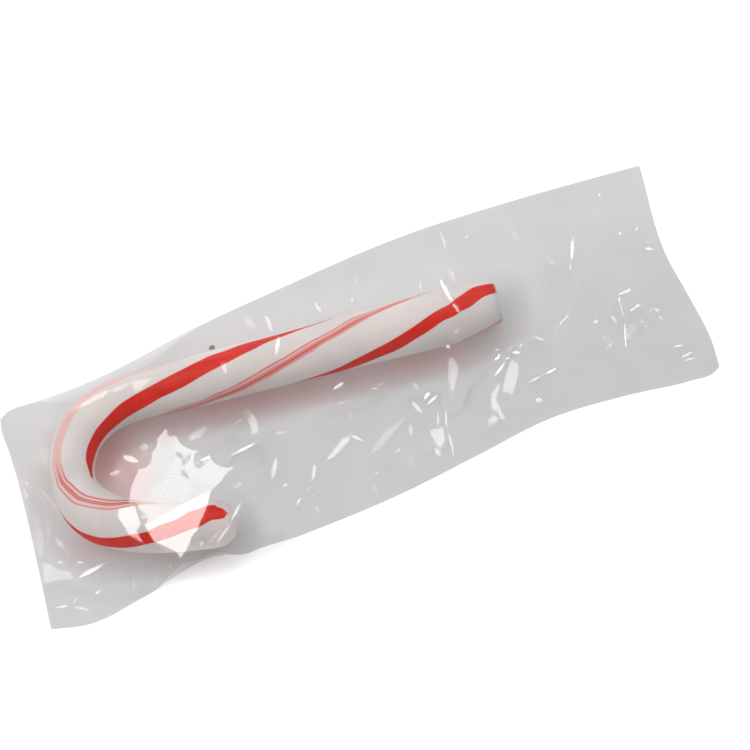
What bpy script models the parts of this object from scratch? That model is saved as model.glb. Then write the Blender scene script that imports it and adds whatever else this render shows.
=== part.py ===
"""A small striped candy cane lying in its clear film wrapper.

The cane is one boiled-sugar rod with its end bent round into a hook. The wrapper is a flat tube of
film, sealed at both ends, that lies flat on its back and drapes over the cane. It is drawn here as
one body that fills the draped outline, with a hollow in it that holds the cane.

Metres, +Z up. The origin is the middle of the wrapper's footprint, on the surface it lies on. The
wrapper's length runs along X and the hook opens towards +X.
"""

import math

import bmesh
import bpy
import numpy as np

MM = 0.001

# The rod of the cane.
ROD_RADIUS = 3.45 * MM
ROD_PROFILE = (  # millimetres from the sawn end, share of the rod's radius
    (0.0, 1.06),
    (8.0, 1.075),
    (15.0, 1.07),
    (22.0, 1.035),
    (30.0, 1.01),
    (40.0, 0.995),
    (48.0, 0.94),
    (58.0, 0.925),
    (62.0, 0.9),
    (65.5, 0.865),
    (68.5, 0.96),
    (72.0, 1.045),
    (75.0, 1.01),
    (80.0, 0.975),
    (90.0, 0.93),
)
THICKEST = 1.075  # the largest share in the profile
END_CUT = 1.25 * MM  # the sawn end has lost this much of its inner side
END_CUT_REACH = 7.0 * MM
SHAFT_END_ROUNDING = 0.8 * MM
TIP_ROUNDING = 2.9 * MM

# Where the rod runs, as Bezier knots: x, y, heading in degrees, handle before, handle after.
SHAFT_END = (23.3 * MM, 3.0 * MM, 173.3, 0.0, 16.6 * MM)
SHAFT_TOP = (-26.3 * MM, 8.8 * MM, 173.3, 16.6 * MM, 6.6 * MM)
CROOK = (-38.2 * MM, 0.8 * MM, 262.6, 5.5 * MM, 8.0 * MM)
TIP = (-19.8 * MM, -11.6 * MM, 347.7, 8.0 * MM, 0.0)

# The wrapper. Its corners are shared by the edges that meet there.
WRAPPER_CORNERS = {
    "lower_left": (-48.0 * MM, -15.8 * MM),
    "lower_right": (47.8 * MM, -14.9 * MM),
    "upper_left": (-44.2 * MM, 13.1 * MM),
    "upper_right": (47.8 * MM, 14.4 * MM),
}
UPPER_EDGE = (
    (-42.9, 13.7),
    (-39.7, 13.7),
    (-36.0, 13.3),
    (-30.0, 13.2),
    (-24.0, 13.9),
    (-17.8, 15.0),
    (-4.0, 16.1),
    (15.0, 16.9),
    (31.0, 16.0),
)
LOWER_EDGE = (
    (-43.0, -17.0),
    (-35.0, -16.2),
    (-28.1, -15.0),
    (-25.2, -14.8),
    (-22.9, -15.2),
    (-20.6, -16.0),
    (-18.0, -16.0),
    (2.0, -15.6),
    (13.7, -14.4),
    (24.0, -13.3),
    (35.0, -14.1),
    (43.4, -15.3),
    (46.8, -15.4),
)
LEFT_EDGE = ((-46.5, -6.5), (-45.3, 2.0), (-44.7, 8.1), (-44.5, 12.0))
RIGHT_EDGE = ((48.1, -11.5), (47.4, -4.0), (46.7, 1.5))
EDGE_THICKNESS = 0.35 * MM

# The hollow that holds the cane, and the film above and below it.
CLEARANCE = 0.3 * MM
FILM_BELOW = 0.2 * MM
FILM_ABOVE = 0.4 * MM
VENT_RADIUS = 0.5 * MM  # the hollow's way out, through the film below the shaft

# How the film falls away from the cane.
SHOULDER = 2.9 * MM  # it leaves the rod this far out from the rod's middle
DRAPE_REACH = 11.0 * MM  # and it lies flat this much further out
DRAPE_POWER = 1.45
NEAR_EDGE = 8.0 * MM  # a side fold that is closer than this to the rod's middle is held up
NEAREST_EDGE = 4.2 * MM
HELD_UP = 4.2 * MM

# Mesh sizes.
ROD_SIDES = 24
POCKET_SIDES = 20
RINGS_ALONG = (12, 16, 20)  # on the shaft, the first bend and the second bend
ROUNDING_RINGS = 5
RING_GAP = 0.3 * MM  # between a rounded end's first ring and the next
WRAPPER_GRID = (64, 26)
SAMPLES = 160

CANDY_WHITE = (0.76, 0.76, 0.68, 1.0)
CLEAR_FILM = (0.80, 0.81, 0.81, 0.3)


def clear_scene():
    for found in list(bpy.data.objects):
        bpy.data.objects.remove(found, do_unlink=True)


def make_material(name, colour, roughness, transmission=0.0):
    material = bpy.data.materials.new(name)
    material.use_nodes = True
    shader = material.node_tree.nodes["Principled BSDF"]
    shader.inputs["Base Color"].default_value = colour
    shader.inputs["Roughness"].default_value = roughness
    shader.inputs["Metallic"].default_value = 0.0
    shader.inputs["Transmission Weight"].default_value = transmission
    material.diffuse_color = colour
    return material


def smoothstep(values):
    held = np.clip(values, 0.0, 1.0)
    return held * held * (3.0 - 2.0 * held)


def bezier(start, end, count):
    """Points of the cubic curve between two knots, without its last point."""
    x0, y0, heading0, _, handle0 = start
    x1, y1, heading1, handle1, _ = end
    turn0, turn1 = math.radians(heading0), math.radians(heading1)
    p0 = np.array((x0, y0))
    p1 = p0 + handle0 * np.array((math.cos(turn0), math.sin(turn0)))
    p3 = np.array((x1, y1))
    p2 = p3 - handle1 * np.array((math.cos(turn1), math.sin(turn1)))
    t = np.linspace(0.0, 1.0, count, endpoint=False)[:, None]
    return (1 - t) ** 3 * p0 + 3 * (1 - t) ** 2 * t * p1 + 3 * (1 - t) * t**2 * p2 + t**3 * p3


def lengths_along(points):
    steps = np.linalg.norm(np.diff(points, axis=0), axis=1)
    return np.concatenate([[0.0], np.cumsum(steps)])


def headings_along(points):
    """Unit direction of the line at each of its points."""
    ahead = np.gradient(points, axis=0)
    for index, knot in ((0, SHAFT_END), (-1, TIP)):
        turn = math.radians(knot[2])
        ahead[index] = (math.cos(turn), math.sin(turn))
    return ahead / np.linalg.norm(ahead, axis=1)[:, None]


def profile_share(along):
    """Share of the rod's radius at lengths along it."""
    at, share = np.array(ROD_PROFILE).T
    return np.interp(along / MM, at, share)


def rod_line(counts):
    """The rod from its sawn end to its tip: middles, headings and radii."""
    knots = (SHAFT_END, SHAFT_TOP, CROOK, TIP)
    runs = [bezier(a, b, count) for a, b, count in zip(knots, knots[1:], counts)]
    points = np.vstack(runs + [np.array([TIP[:2]])])
    ahead = headings_along(points)
    along = lengths_along(points)
    lost = END_CUT * np.clip(1.0 - along / END_CUT_REACH, 0.0, 1.0)
    left = np.column_stack([-ahead[:, 1], ahead[:, 0]])
    radii = ROD_RADIUS * profile_share(along) - lost / 2.0
    return points - left * lost[:, None] / 2.0, ahead, radii


def between_ends(stations, start, end):
    """The stations that aren't taken up by the rounded ends."""
    kept = []
    for station in stations:
        past_start = (station[0] - start[0]) @ start[1]
        before_end = (end[0] - station[0]) @ end[1]
        on_shaft = station[0][1] > TIP[1] / 2.0
        if (past_start if on_shaft else before_end) > RING_GAP:
            kept.append(station)
    return kept


def rod_stations(extra):
    """Rings of the rod, grown by extra: point, direction, radius and height of each ring's middle."""
    points, ahead, radii = rod_line(RINGS_ALONG)
    heights = FILM_BELOW + CLEARANCE + radii
    stations = list(zip(points, ahead, radii + extra, heights))
    bends = np.linspace(0.0, math.pi / 2.0, ROUNDING_RINGS)
    finished = []
    ends = ((0, -1.0, SHAFT_END_ROUNDING), (-1, 1.0, TIP_ROUNDING))
    for index, outwards, rounding in ends:
        point, direction, radius, height = stations[index]
        rounding += extra
        rings = []
        for bend in bends:
            shift = outwards * (rounding * math.sin(bend) - rounding + extra)
            size = radius - rounding * (1.0 - math.cos(bend))
            rings.append((point + direction * shift, direction, size, height))
        finished.append(rings)
    start, end = finished
    return start[::-1] + between_ends(stations, start[0], end[0]) + end


def sweep_rod(name, extra, sides):
    """A closed mesh along the rod, grown by extra all round."""
    mesh = bmesh.new()
    rings = []
    for point, ahead, radius, height in rod_stations(extra):
        aside = np.array((-ahead[1], ahead[0]))
        ring = []
        for side in range(sides):
            angle = 2.0 * math.pi * (side + 0.5) / sides
            x, y = point + aside * radius * math.cos(angle)
            ring.append(mesh.verts.new((x, y, height + radius * math.sin(angle))))
        rings.append(ring)
    for ring, after in zip(rings, rings[1:]):
        for side in range(sides):
            follow = (side + 1) % sides
            mesh.faces.new((ring[side], ring[follow], after[follow], after[side]))
    mesh.faces.new(rings[0][::-1])
    mesh.faces.new(rings[-1])
    bmesh.ops.recalc_face_normals(mesh, faces=mesh.faces)
    data = bpy.data.meshes.new(name)
    mesh.to_mesh(data)
    mesh.free()
    rod = bpy.data.objects.new(name, data)
    bpy.context.collection.objects.link(rod)
    return rod


def make_cane():
    cane = sweep_rod("candy_cane", 0.0, ROD_SIDES)
    cane.data.shade_smooth()
    cane.data.set_sharp_from_angle(angle=math.radians(40.0))
    cane.data.materials.append(make_material("candy_sugar", CANDY_WHITE, 0.3))


def through(points, shares):
    """Points at shares (0 to 1) along a smooth curve through the given points."""
    knots = np.array(points)
    reach = lengths_along(knots)
    slopes = np.gradient(knots, reach, axis=0)
    places = shares * reach[-1]
    cell = np.clip(np.searchsorted(reach, places, side="right") - 1, 0, len(knots) - 2)
    width = (reach[cell + 1] - reach[cell])[:, None]
    t = (places - reach[cell])[:, None] / width
    rise = t * t * (3.0 - 2.0 * t)
    leave = slopes[cell] * t * (1.0 - t) ** 2 * width
    arrive = slopes[cell + 1] * t * t * (1.0 - t) * width
    return knots[cell] * (1 - rise) + knots[cell + 1] * rise + leave - arrive


def wrapper_edge(start, between, end):
    """An edge of the wrapper, from corner to corner."""
    middle = [(x * MM, y * MM) for x, y in between]
    return [WRAPPER_CORNERS[start]] + middle + [WRAPPER_CORNERS[end]]


def footprint(columns, rows):
    """A grid of places that fills the wrapper's outline, blended from its four edges."""
    along = np.linspace(0.0, 1.0, columns + 1)
    across = np.linspace(0.0, 1.0, rows + 1)
    lower = through(wrapper_edge("lower_left", LOWER_EDGE, "lower_right"), along)[:, None]
    upper = through(wrapper_edge("upper_left", UPPER_EDGE, "upper_right"), along)[:, None]
    left = through(wrapper_edge("lower_left", LEFT_EDGE, "upper_left"), across)[None]
    right = through(wrapper_edge("lower_right", RIGHT_EDGE, "upper_right"), across)[None]
    u = along[:, None, None]
    v = across[None, :, None]
    corners = (1 - u) * (1 - v) * lower[0, 0] + u * (1 - v) * lower[-1, 0]
    corners = corners + (1 - u) * v * upper[0, 0] + u * v * upper[-1, 0]
    return (1 - v) * lower + v * upper + (1 - u) * left + u * right - corners


def distance_to(places, line):
    gaps = places[..., None, :] - line
    return np.linalg.norm(gaps, axis=-1).min(axis=-1)


def drape_share(out, to_edge, rim, crown):
    """How high the film stands at a distance out from the rod: 1 on its top and 0 lying flat."""
    radius = ROD_RADIUS * THICKEST + CLEARANCE + FILM_ABOVE
    on_rod = crown - radius + np.sqrt(radius**2 - np.minimum(out, SHOULDER) ** 2)
    reach = np.minimum(out + to_edge - SHOULDER, DRAPE_REACH)
    fall = np.clip(1.0 - (out - SHOULDER) / reach, 0.0, 1.0)
    power = 1.0 + (DRAPE_POWER - 1.0) * smoothstep(reach / DRAPE_REACH)
    return (on_rod - rim) / (crown - rim) * np.where(out > SHOULDER, fall**power, 1.0)


def film_height(places):
    """Height of the draped film over each place of the footprint."""
    line = rod_line((SAMPLES, SAMPLES, SAMPLES))[0]
    shaft, hook = line[: 2 * SAMPLES], line[2 * SAMPLES :]
    outline = np.vstack([places[0], places[-1], places[:, 0], places[:, -1]])
    to_edge = distance_to(places, outline)
    nearest = distance_to(places, line) + to_edge
    lift = smoothstep((NEAR_EDGE - nearest) / (NEAR_EDGE - NEAREST_EDGE))
    rim = EDGE_THICKNESS + HELD_UP * lift
    crown = FILM_BELOW + 2.0 * (CLEARANCE + ROD_RADIUS * THICKEST) + FILM_ABOVE
    flat = 1.0
    for stretch in (shaft, hook):
        flat = flat * (1.0 - drape_share(distance_to(places, stretch), to_edge, rim, crown))
    return rim + (crown - rim) * (1.0 - flat)


def wrapper_body():
    """The filled, draped outline: a flat underside and the film's top over it."""
    columns, rows = WRAPPER_GRID
    places = footprint(columns, rows)
    tops = film_height(places)
    mesh = bmesh.new()
    grid = []
    for i in range(columns + 1):
        grid.append([mesh.verts.new((*places[i, j], tops[i, j])) for j in range(rows + 1)])
    for i in range(columns):
        for j in range(rows):
            mesh.faces.new((grid[i][j], grid[i + 1][j], grid[i + 1][j + 1], grid[i][j + 1]))
    rim = [grid[i][0] for i in range(columns)]
    rim += [grid[columns][j] for j in range(rows)]
    rim += [grid[i][rows] for i in range(columns, 0, -1)]
    rim += [grid[0][j] for j in range(rows, 0, -1)]
    foot = [mesh.verts.new((top.co.x, top.co.y, 0.0)) for top in rim]
    for index, top in enumerate(rim):
        follow = (index + 1) % len(rim)
        mesh.faces.new((foot[index], foot[follow], rim[follow], top))
    mesh.faces.new(foot[::-1])
    bmesh.ops.recalc_face_normals(mesh, faces=mesh.faces)
    data = bpy.data.meshes.new("wrapper")
    mesh.to_mesh(data)
    mesh.free()
    body = bpy.data.objects.new("wrapper", data)
    bpy.context.collection.objects.link(body)
    return body


def cut(body, cutter):
    cutter.hide_render = True
    cutter.display_type = "WIRE"
    modifier = body.modifiers.new(cutter.name, "BOOLEAN")
    modifier.operation = "DIFFERENCE"
    modifier.solver = "EXACT"
    modifier.object = cutter


def make_wrapper():
    body = wrapper_body()
    cut(body, sweep_rod("cane_hollow", CLEARANCE, POCKET_SIDES))
    middle = [(a + b) / 2.0 for a, b in zip(SHAFT_END[:2], SHAFT_TOP[:2])]
    depth = FILM_BELOW + CLEARANCE
    bpy.ops.mesh.primitive_cylinder_add(
        vertices=12, radius=VENT_RADIUS, depth=2.0 * depth, location=(*middle, 0.0)
    )
    vent = bpy.context.active_object
    vent.name = "vent"
    cut(body, vent)
    body.data.shade_smooth()
    body.data.set_sharp_from_angle(angle=math.radians(40.0))
    body.data.materials.append(make_material("clear_film", CLEAR_FILM, 0.1, transmission=0.8))


clear_scene()
make_cane()
make_wrapper()
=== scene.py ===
"""How a small striped candy cane in its clear film wrapper looks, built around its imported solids.

The cane is a pulled-sugar rod whose stripes turn round it. The wrapper is two sheets of clear film
that meet along its outline: the lower one lies flat, and the upper one is stretched over the rod,
creased and pleated. Lengths in the tables below are in millimetres and angles in degrees.
"""

import math

import bpy
import numpy as np
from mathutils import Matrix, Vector
from mathutils.geometry import delaunay_2d_cdt


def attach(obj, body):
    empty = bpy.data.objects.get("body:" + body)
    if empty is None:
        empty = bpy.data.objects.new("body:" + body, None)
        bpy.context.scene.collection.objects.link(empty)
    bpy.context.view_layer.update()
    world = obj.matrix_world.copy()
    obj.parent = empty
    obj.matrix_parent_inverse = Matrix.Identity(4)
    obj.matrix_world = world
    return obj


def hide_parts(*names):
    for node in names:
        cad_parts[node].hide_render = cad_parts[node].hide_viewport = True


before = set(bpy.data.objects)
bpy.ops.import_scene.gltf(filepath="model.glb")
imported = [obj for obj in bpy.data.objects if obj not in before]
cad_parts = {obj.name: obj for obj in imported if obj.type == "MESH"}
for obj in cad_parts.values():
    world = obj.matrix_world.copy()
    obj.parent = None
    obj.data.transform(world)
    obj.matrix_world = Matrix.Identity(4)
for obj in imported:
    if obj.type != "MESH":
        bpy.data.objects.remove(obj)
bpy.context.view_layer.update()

bl_info = {
    "name": "Wrapped Candy Cane",
    "version": (1, 0, 0),
    "blender": (4, 5, 0),
    "location": "3D View > Sidebar > Candy Cane",
    "description": "Builds a striped candy cane in a clear, creased film wrapper",
    "category": "Add Mesh",
}

MM = 0.001
BODY = "root"

# ---------------------------------------------------------------- shape of the rod, as in the solids

SHAFT_END = (23.3, 3.0, 173.3, 0.0, 16.6)
SHAFT_TOP = (-26.3, 8.8, 173.3, 16.6, 6.6)
CROOK = (-38.2, 0.8, 262.6, 5.5, 8.0)
TIP = (-19.8, -11.6, 347.7, 8.0, 0.0)
ROD_PROFILE = (  # length from the sawn end, share of the rod's radius
    (0.0, 1.06), (8.0, 1.075), (15.0, 1.07), (22.0, 1.035), (30.0, 1.01), (40.0, 0.995), (48.0, 0.94),
    (58.0, 0.925), (62.0, 0.9), (65.5, 0.865), (68.5, 0.96), (72.0, 1.045), (75.0, 1.01), (80.0, 0.975),
    (90.0, 0.93),
)
END_CUT = 1.25  # the sawn end has lost this much of its inner side
END_CUT_REACH = 7.0
SHAFT_END_ROUNDING = 0.8
TIP_ROUNDING = 2.9
ROD_LIES_AT = 0.5  # height of the rod's underside
RINGS_ALONG = (140, 60, 90)
ROUNDING_RINGS = 12
RING_GAP = 0.12
CAP_RINGS = 4

# Where each stripe's middle lies round the rod: (length from the sawn end, angle), where 90 is the
# top of the rod and 0 is the side that the hook bends towards. Each has its half width beside it.
WIDE_STRIPES = {
    "wide_one": (
        (0.0, 115, 15), (2.0, 116, 17), (3.0, 113.5, 19), (4.0, 107, 19), (5.0, 101, 17), (6.0, 97, 15),
        (7.0, 90.5, 13.5), (8.0, 87, 13), (10.0, 76, 14), (12.0, 64.5, 13.5), (15.0, 48, 14.5),
        (18.0, 35.5, 13.5), (21.0, 21, 14), (23.0, 9, 14), (27.0, -8, 14), (71.0, -185, 18),
        (72.0, -192, 18), (73.0, -198, 18.5), (74.0, -206, 18.5), (75.0, -213, 18.5), (76.0, -220.5, 18.5),
        (78.3, -236, 16), (80.0, -248, 19), (82.0, -260, 18), (84.0, -275, 21), (85.0, -278.5, 22),
        (87.0, -290, 21), (88.0, -286.5, 16.5), (88.8, -285.5, 11), (89.1, -285.5, 0), (90.0, -285.5, 0),
    ),
    "wide_two": (
        (0.0, 320, 3), (20.0, 176, 3), (25.0, 152, 3), (28.0, 146, 6), (30.0, 143, 9), (32.0, 138.5, 11.5),
        (33.0, 135.5, 14.5), (35.0, 130, 17), (37.0, 121.5, 17.5), (39.0, 115.5, 19.5), (41.0, 106.5, 19.5),
        (43.0, 97, 20), (45.0, 89, 20), (47.0, 81, 19), (49.0, 71, 20), (51.0, 61.5, 20.5),
        (53.0, 53.5, 20.5), (55.0, 45.5, 19.5), (57.0, 42, 19), (60.0, 38, 19), (62.0, 38.5, 17.5),
        (63.0, 38.5, 14.5), (64.0, 37, 10), (65.0, 35.5, 6.5), (66.0, 35, 5), (66.7, 34, 0), (90.0, -130, 0),
    ),
}
FINE_STRIPES = {
    "fine_one": (
        (0.0, 222, 8), (12.0, 154, 8), (15.0, 142, 8), (17.0, 133, 8), (18.0, 129.5, 10.5),
        (20.0, 121, 12), (22.0, 109.5, 10.5), (24.0, 100.5, 9.5), (26.0, 91, 11), (30.0, 71, 11),
        (32.0, 61.5, 12.5), (34.0, 52, 12), (36.0, 41.5, 12.5), (38.0, 32.5, 11.5), (40.0, 26, 12),
        (42.0, 15, 11), (45.0, 7, 13), (60.0, -60, 12), (90.0, -172, 14),
    ),
    "fine_two": (
        (0.0, 31, 5), (1.0, 20, 5), (2.5, 8, 7), (5.0, 0, 7), (12.0, -45, 10), (30.0, -125, 12),
        (46.0, -193, 16), (50.0, -201, 17), (53.0, -209, 17), (55.0, -210, 16), (58.0, -217, 17),
        (60.0, -222, 17), (62.0, -225, 14), (64.0, -229.5, 16.5), (65.0, -234, 16), (66.0, -238, 18),
        (67.0, -247, 19), (68.0, -256, 18), (69.0, -263.5, 17.5), (70.0, -274, 16), (71.0, -283, 15),
        (72.0, -291.5, 14.5), (73.0, -299.5, 14.5), (74.5, -313.5, 15.5), (79.0, -345, 12), (90.0, -400, 10),
    ),
}
# The red strands in each fine stripe: middle and half width as shares of the stripe's half width, and
# how strong the strand is.
STRANDS = {
    "fine_one": ((0.86, 0.12, 0.8), (0.08, 0.14, 0.6), (-0.36, 0.2, 1.0), (-0.9, 0.1, 0.75)),
    "fine_two": ((0.86, 0.1, 0.75), (0.13, 0.11, 1.0), (-0.18, 0.11, 1.0), (-0.8, 0.13, 0.9)),
}

# ------------------------------------------------------------ outline of the wrapper, as in the solids

WRAPPER_CORNERS = {
    "lower_left": (-48.0, -15.8),
    "lower_right": (47.8, -14.9),
    "upper_left": (-44.2, 13.1),
    "upper_right": (47.8, 14.4),
}
UPPER_EDGE = (
    (-42.9, 13.7), (-39.7, 13.7), (-36.0, 13.3), (-30.0, 13.2), (-24.0, 13.9), (-17.8, 15.0), (-4.0, 16.1),
    (15.0, 16.9), (31.0, 16.0),
)
LOWER_EDGE = (
    (-43.0, -17.0), (-35.0, -16.2), (-28.1, -15.0), (-25.2, -14.8), (-22.9, -15.2), (-20.6, -16.0),
    (-18.0, -16.0), (2.0, -15.6), (13.7, -14.4), (24.0, -13.3), (35.0, -14.1), (43.4, -15.3), (46.8, -15.4),
)
LEFT_EDGE = ((-46.5, -6.5), (-45.3, 2.0), (-44.7, 8.1), (-44.5, 12.0))
RIGHT_EDGE = ((48.1, -11.5), (47.4, -4.0), (46.7, 1.5))

# -------------------------------------------------------------------------------- how the film lies

FRONT_GRID = (1072, 368)  # cells along and across
BACK_GRID = (264, 88)
PLAIN_GLEAM = 0.05  # how strongly film without folds shines
COARSEST = 8  # the plainest film keeps one point in this many, each way
BEND_KEPT = 0.002  # film that bends more than this from cell to cell keeps all its points
CLING = 0.12  # gap between the rod and the film that touches it
SKIRT_REACH = 11.0  # how far from the rod's middle the film comes down to the table
EDGE_HEIGHT = 0.16
BACK_HEIGHT = 0.06
LOWEST_FILM = 0.12
NEAR_EDGE = 8.0
NEAREST_EDGE = 4.2
HELD_UP = 2.6
HELD_SHADE_REACH = 6.0  # how far in from a held-up edge the lower sheet is painted darker
# how much painted shade the lower sheet takes at a held-up edge
HELD_PAINTED_SHADE = 0.75
BACK_RISE = 2.6  # how far in from a held-up edge the lower sheet leaves the table
SPECK_AT = np.array((-14.4, 12.0))
SPECK_SIZE = (0.37, 0.28, 0.13)  # half its length, half its width, half its height
SPECK_TURN = 20.0
FACE_SIDES_FALL = 2.5  # slope of the film round a face

# Flat faces that folds have pressed into the upper film: the azimuth of the lamps that each mirrors
# to the camera, how strongly it shines, and its corners.
FACES = (
    (90, 0.27, (-24.3, 3.3), (-24.1, 2.4), (-23.1, 1.3), (-22.7, -0.3), (-21.4, -1.4), (-21.9, -3.3),
     (-19.6, -2.0), (-18.6, -2.7), (-17.0, -4.7), (-18.4, -6.1), (-21.7, -7.3), (-23.2, -9.4),
     (-26.1, -12.4), (-29.0, -14.7), (-29.7, -12.8), (-31.4, -11.0), (-31.8, -8.2), (-32.6, -4.8),
     (-31.7, -2.8), (-28.6, 0.4), (-25.8, 2.4)),
    (90, 0.3, (-34.0, -5.0), (-31.9, -5.3), (-32.1, -8.3), (-32.9, -8.9), (-32.7, -11.0), (-34.2, -8.9),
     (-34.7, -5.7)),
    (90, 0.22, (-25.2, 1.7), (-24.3, 1.1), (-24.3, -1.0), (-27.0, -3.3), (-30.2, -3.9), (-27.2, -0.2)),
    (90, 0.23, (-22.8, -4.5), (-21.7, -7.0), (-23.4, -9.0), (-24.6, -7.7), (-24.0, -5.5)),
    (90, 0.4, (-21.7, -7.3), (-23.2, -9.4), (-26.1, -12.4), (-29.0, -14.7), (-29.7, -12.8), (-31.4, -11.0),
     (-31.6, -8.6), (-26.0, -7.6)),
    (90, 0.04, (-21.8, -1.5), (-21.1, -2.4), (-21.4, -3.5), (-22.4, -3.6), (-22.4, -2.5)),
    (140, 0.2, (-13.7, 2.3), (-12.9, 2.0), (-12.3, 0.4), (-12.8, -1.6), (-13.9, -2.6), (-14.4, -2.1),
     (-13.6, -0.5)),
    (90, 0.2, (-36.4, 9.5), (-33.4, 10.2), (-30.2, 10.6), (-28.8, 10.4), (-30.7, 9.6), (-33.7, 9.4)),
    (90, 0.16, (-26.6, 10.6), (-23.3, 9.9), (-25.4, 8.9), (-26.4, 8.6)),
    (160, 0.15, (-41.7, 6.4), (-39.8, 7.2), (-39.8, 5.7), (-40.8, 3.9), (-41.5, 5.1)),
    (150, 0.28, (-45.0, -1.1), (-44.1, -1.3), (-44.6, -4.5), (-45.8, -6.6), (-45.9, -4.7)),
    (100, 0.14, (-46.0, -6.8), (-44.3, -8.1), (-43.0, -9.5), (-42.4, -11.0), (-45.1, -10.0), (-46.8, -10.0)),
    (110, 0.26, (-6.4, -7.9), (-4.8, -7.2), (-2.8, -5.8), (-1.5, -5.8), (-1.8, -6.5), (-4.5, -7.9)),
    (110, 0.09, (-0.1, -8.9), (2.6, -7.0), (7.0, -5.9), (2.9, -8.4), (1.0, -9.2)),
    (140, 0.18, (14.1, -1.3), (14.8, -0.9), (15.2, -2.2), (14.9, -3.7), (12.7, -6.6), (13.2, -3.7)),
    (140, 0.22, (8.5, -9.0), (10.0, -8.9), (10.9, -9.5), (10.4, -10.9), (9.4, -11.8), (8.7, -11.6)),
    (140, 0.22, (8.3, -11.4), (9.5, -12.1), (8.8, -12.8), (8.0, -12.5)),
    (130, 0.2, (22.4, -3.0), (23.5, -3.8), (22.3, -6.6), (20.3, -9.1), (20.3, -8.1), (19.5, -7.6),
     (21.3, -4.5)),
    (140, 0.22, (19.5, -6.2), (19.7, -6.6), (18.5, -8.4), (18.6, -11.5), (17.8, -10.9), (17.3, -8.8),
     (18.0, -7.4)),
    (60, 0.2, (16.6, -10.2), (17.7, -10.1), (17.9, -11.1), (15.4, -11.8)),
    (90, 0.42, (38.5, -0.8), (40.5, -0.6), (40.7, -1.2), (38.9, -1.2)),
    (90, 0.36, (39.2, -3.4), (40.8, -3.0), (41.1, -3.5), (39.6, -3.8)),
    (150, 0.1, (38.5, -5.2), (39.9, -5.8), (38.3, -7.1), (37.1, -8.7)),
)

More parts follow.
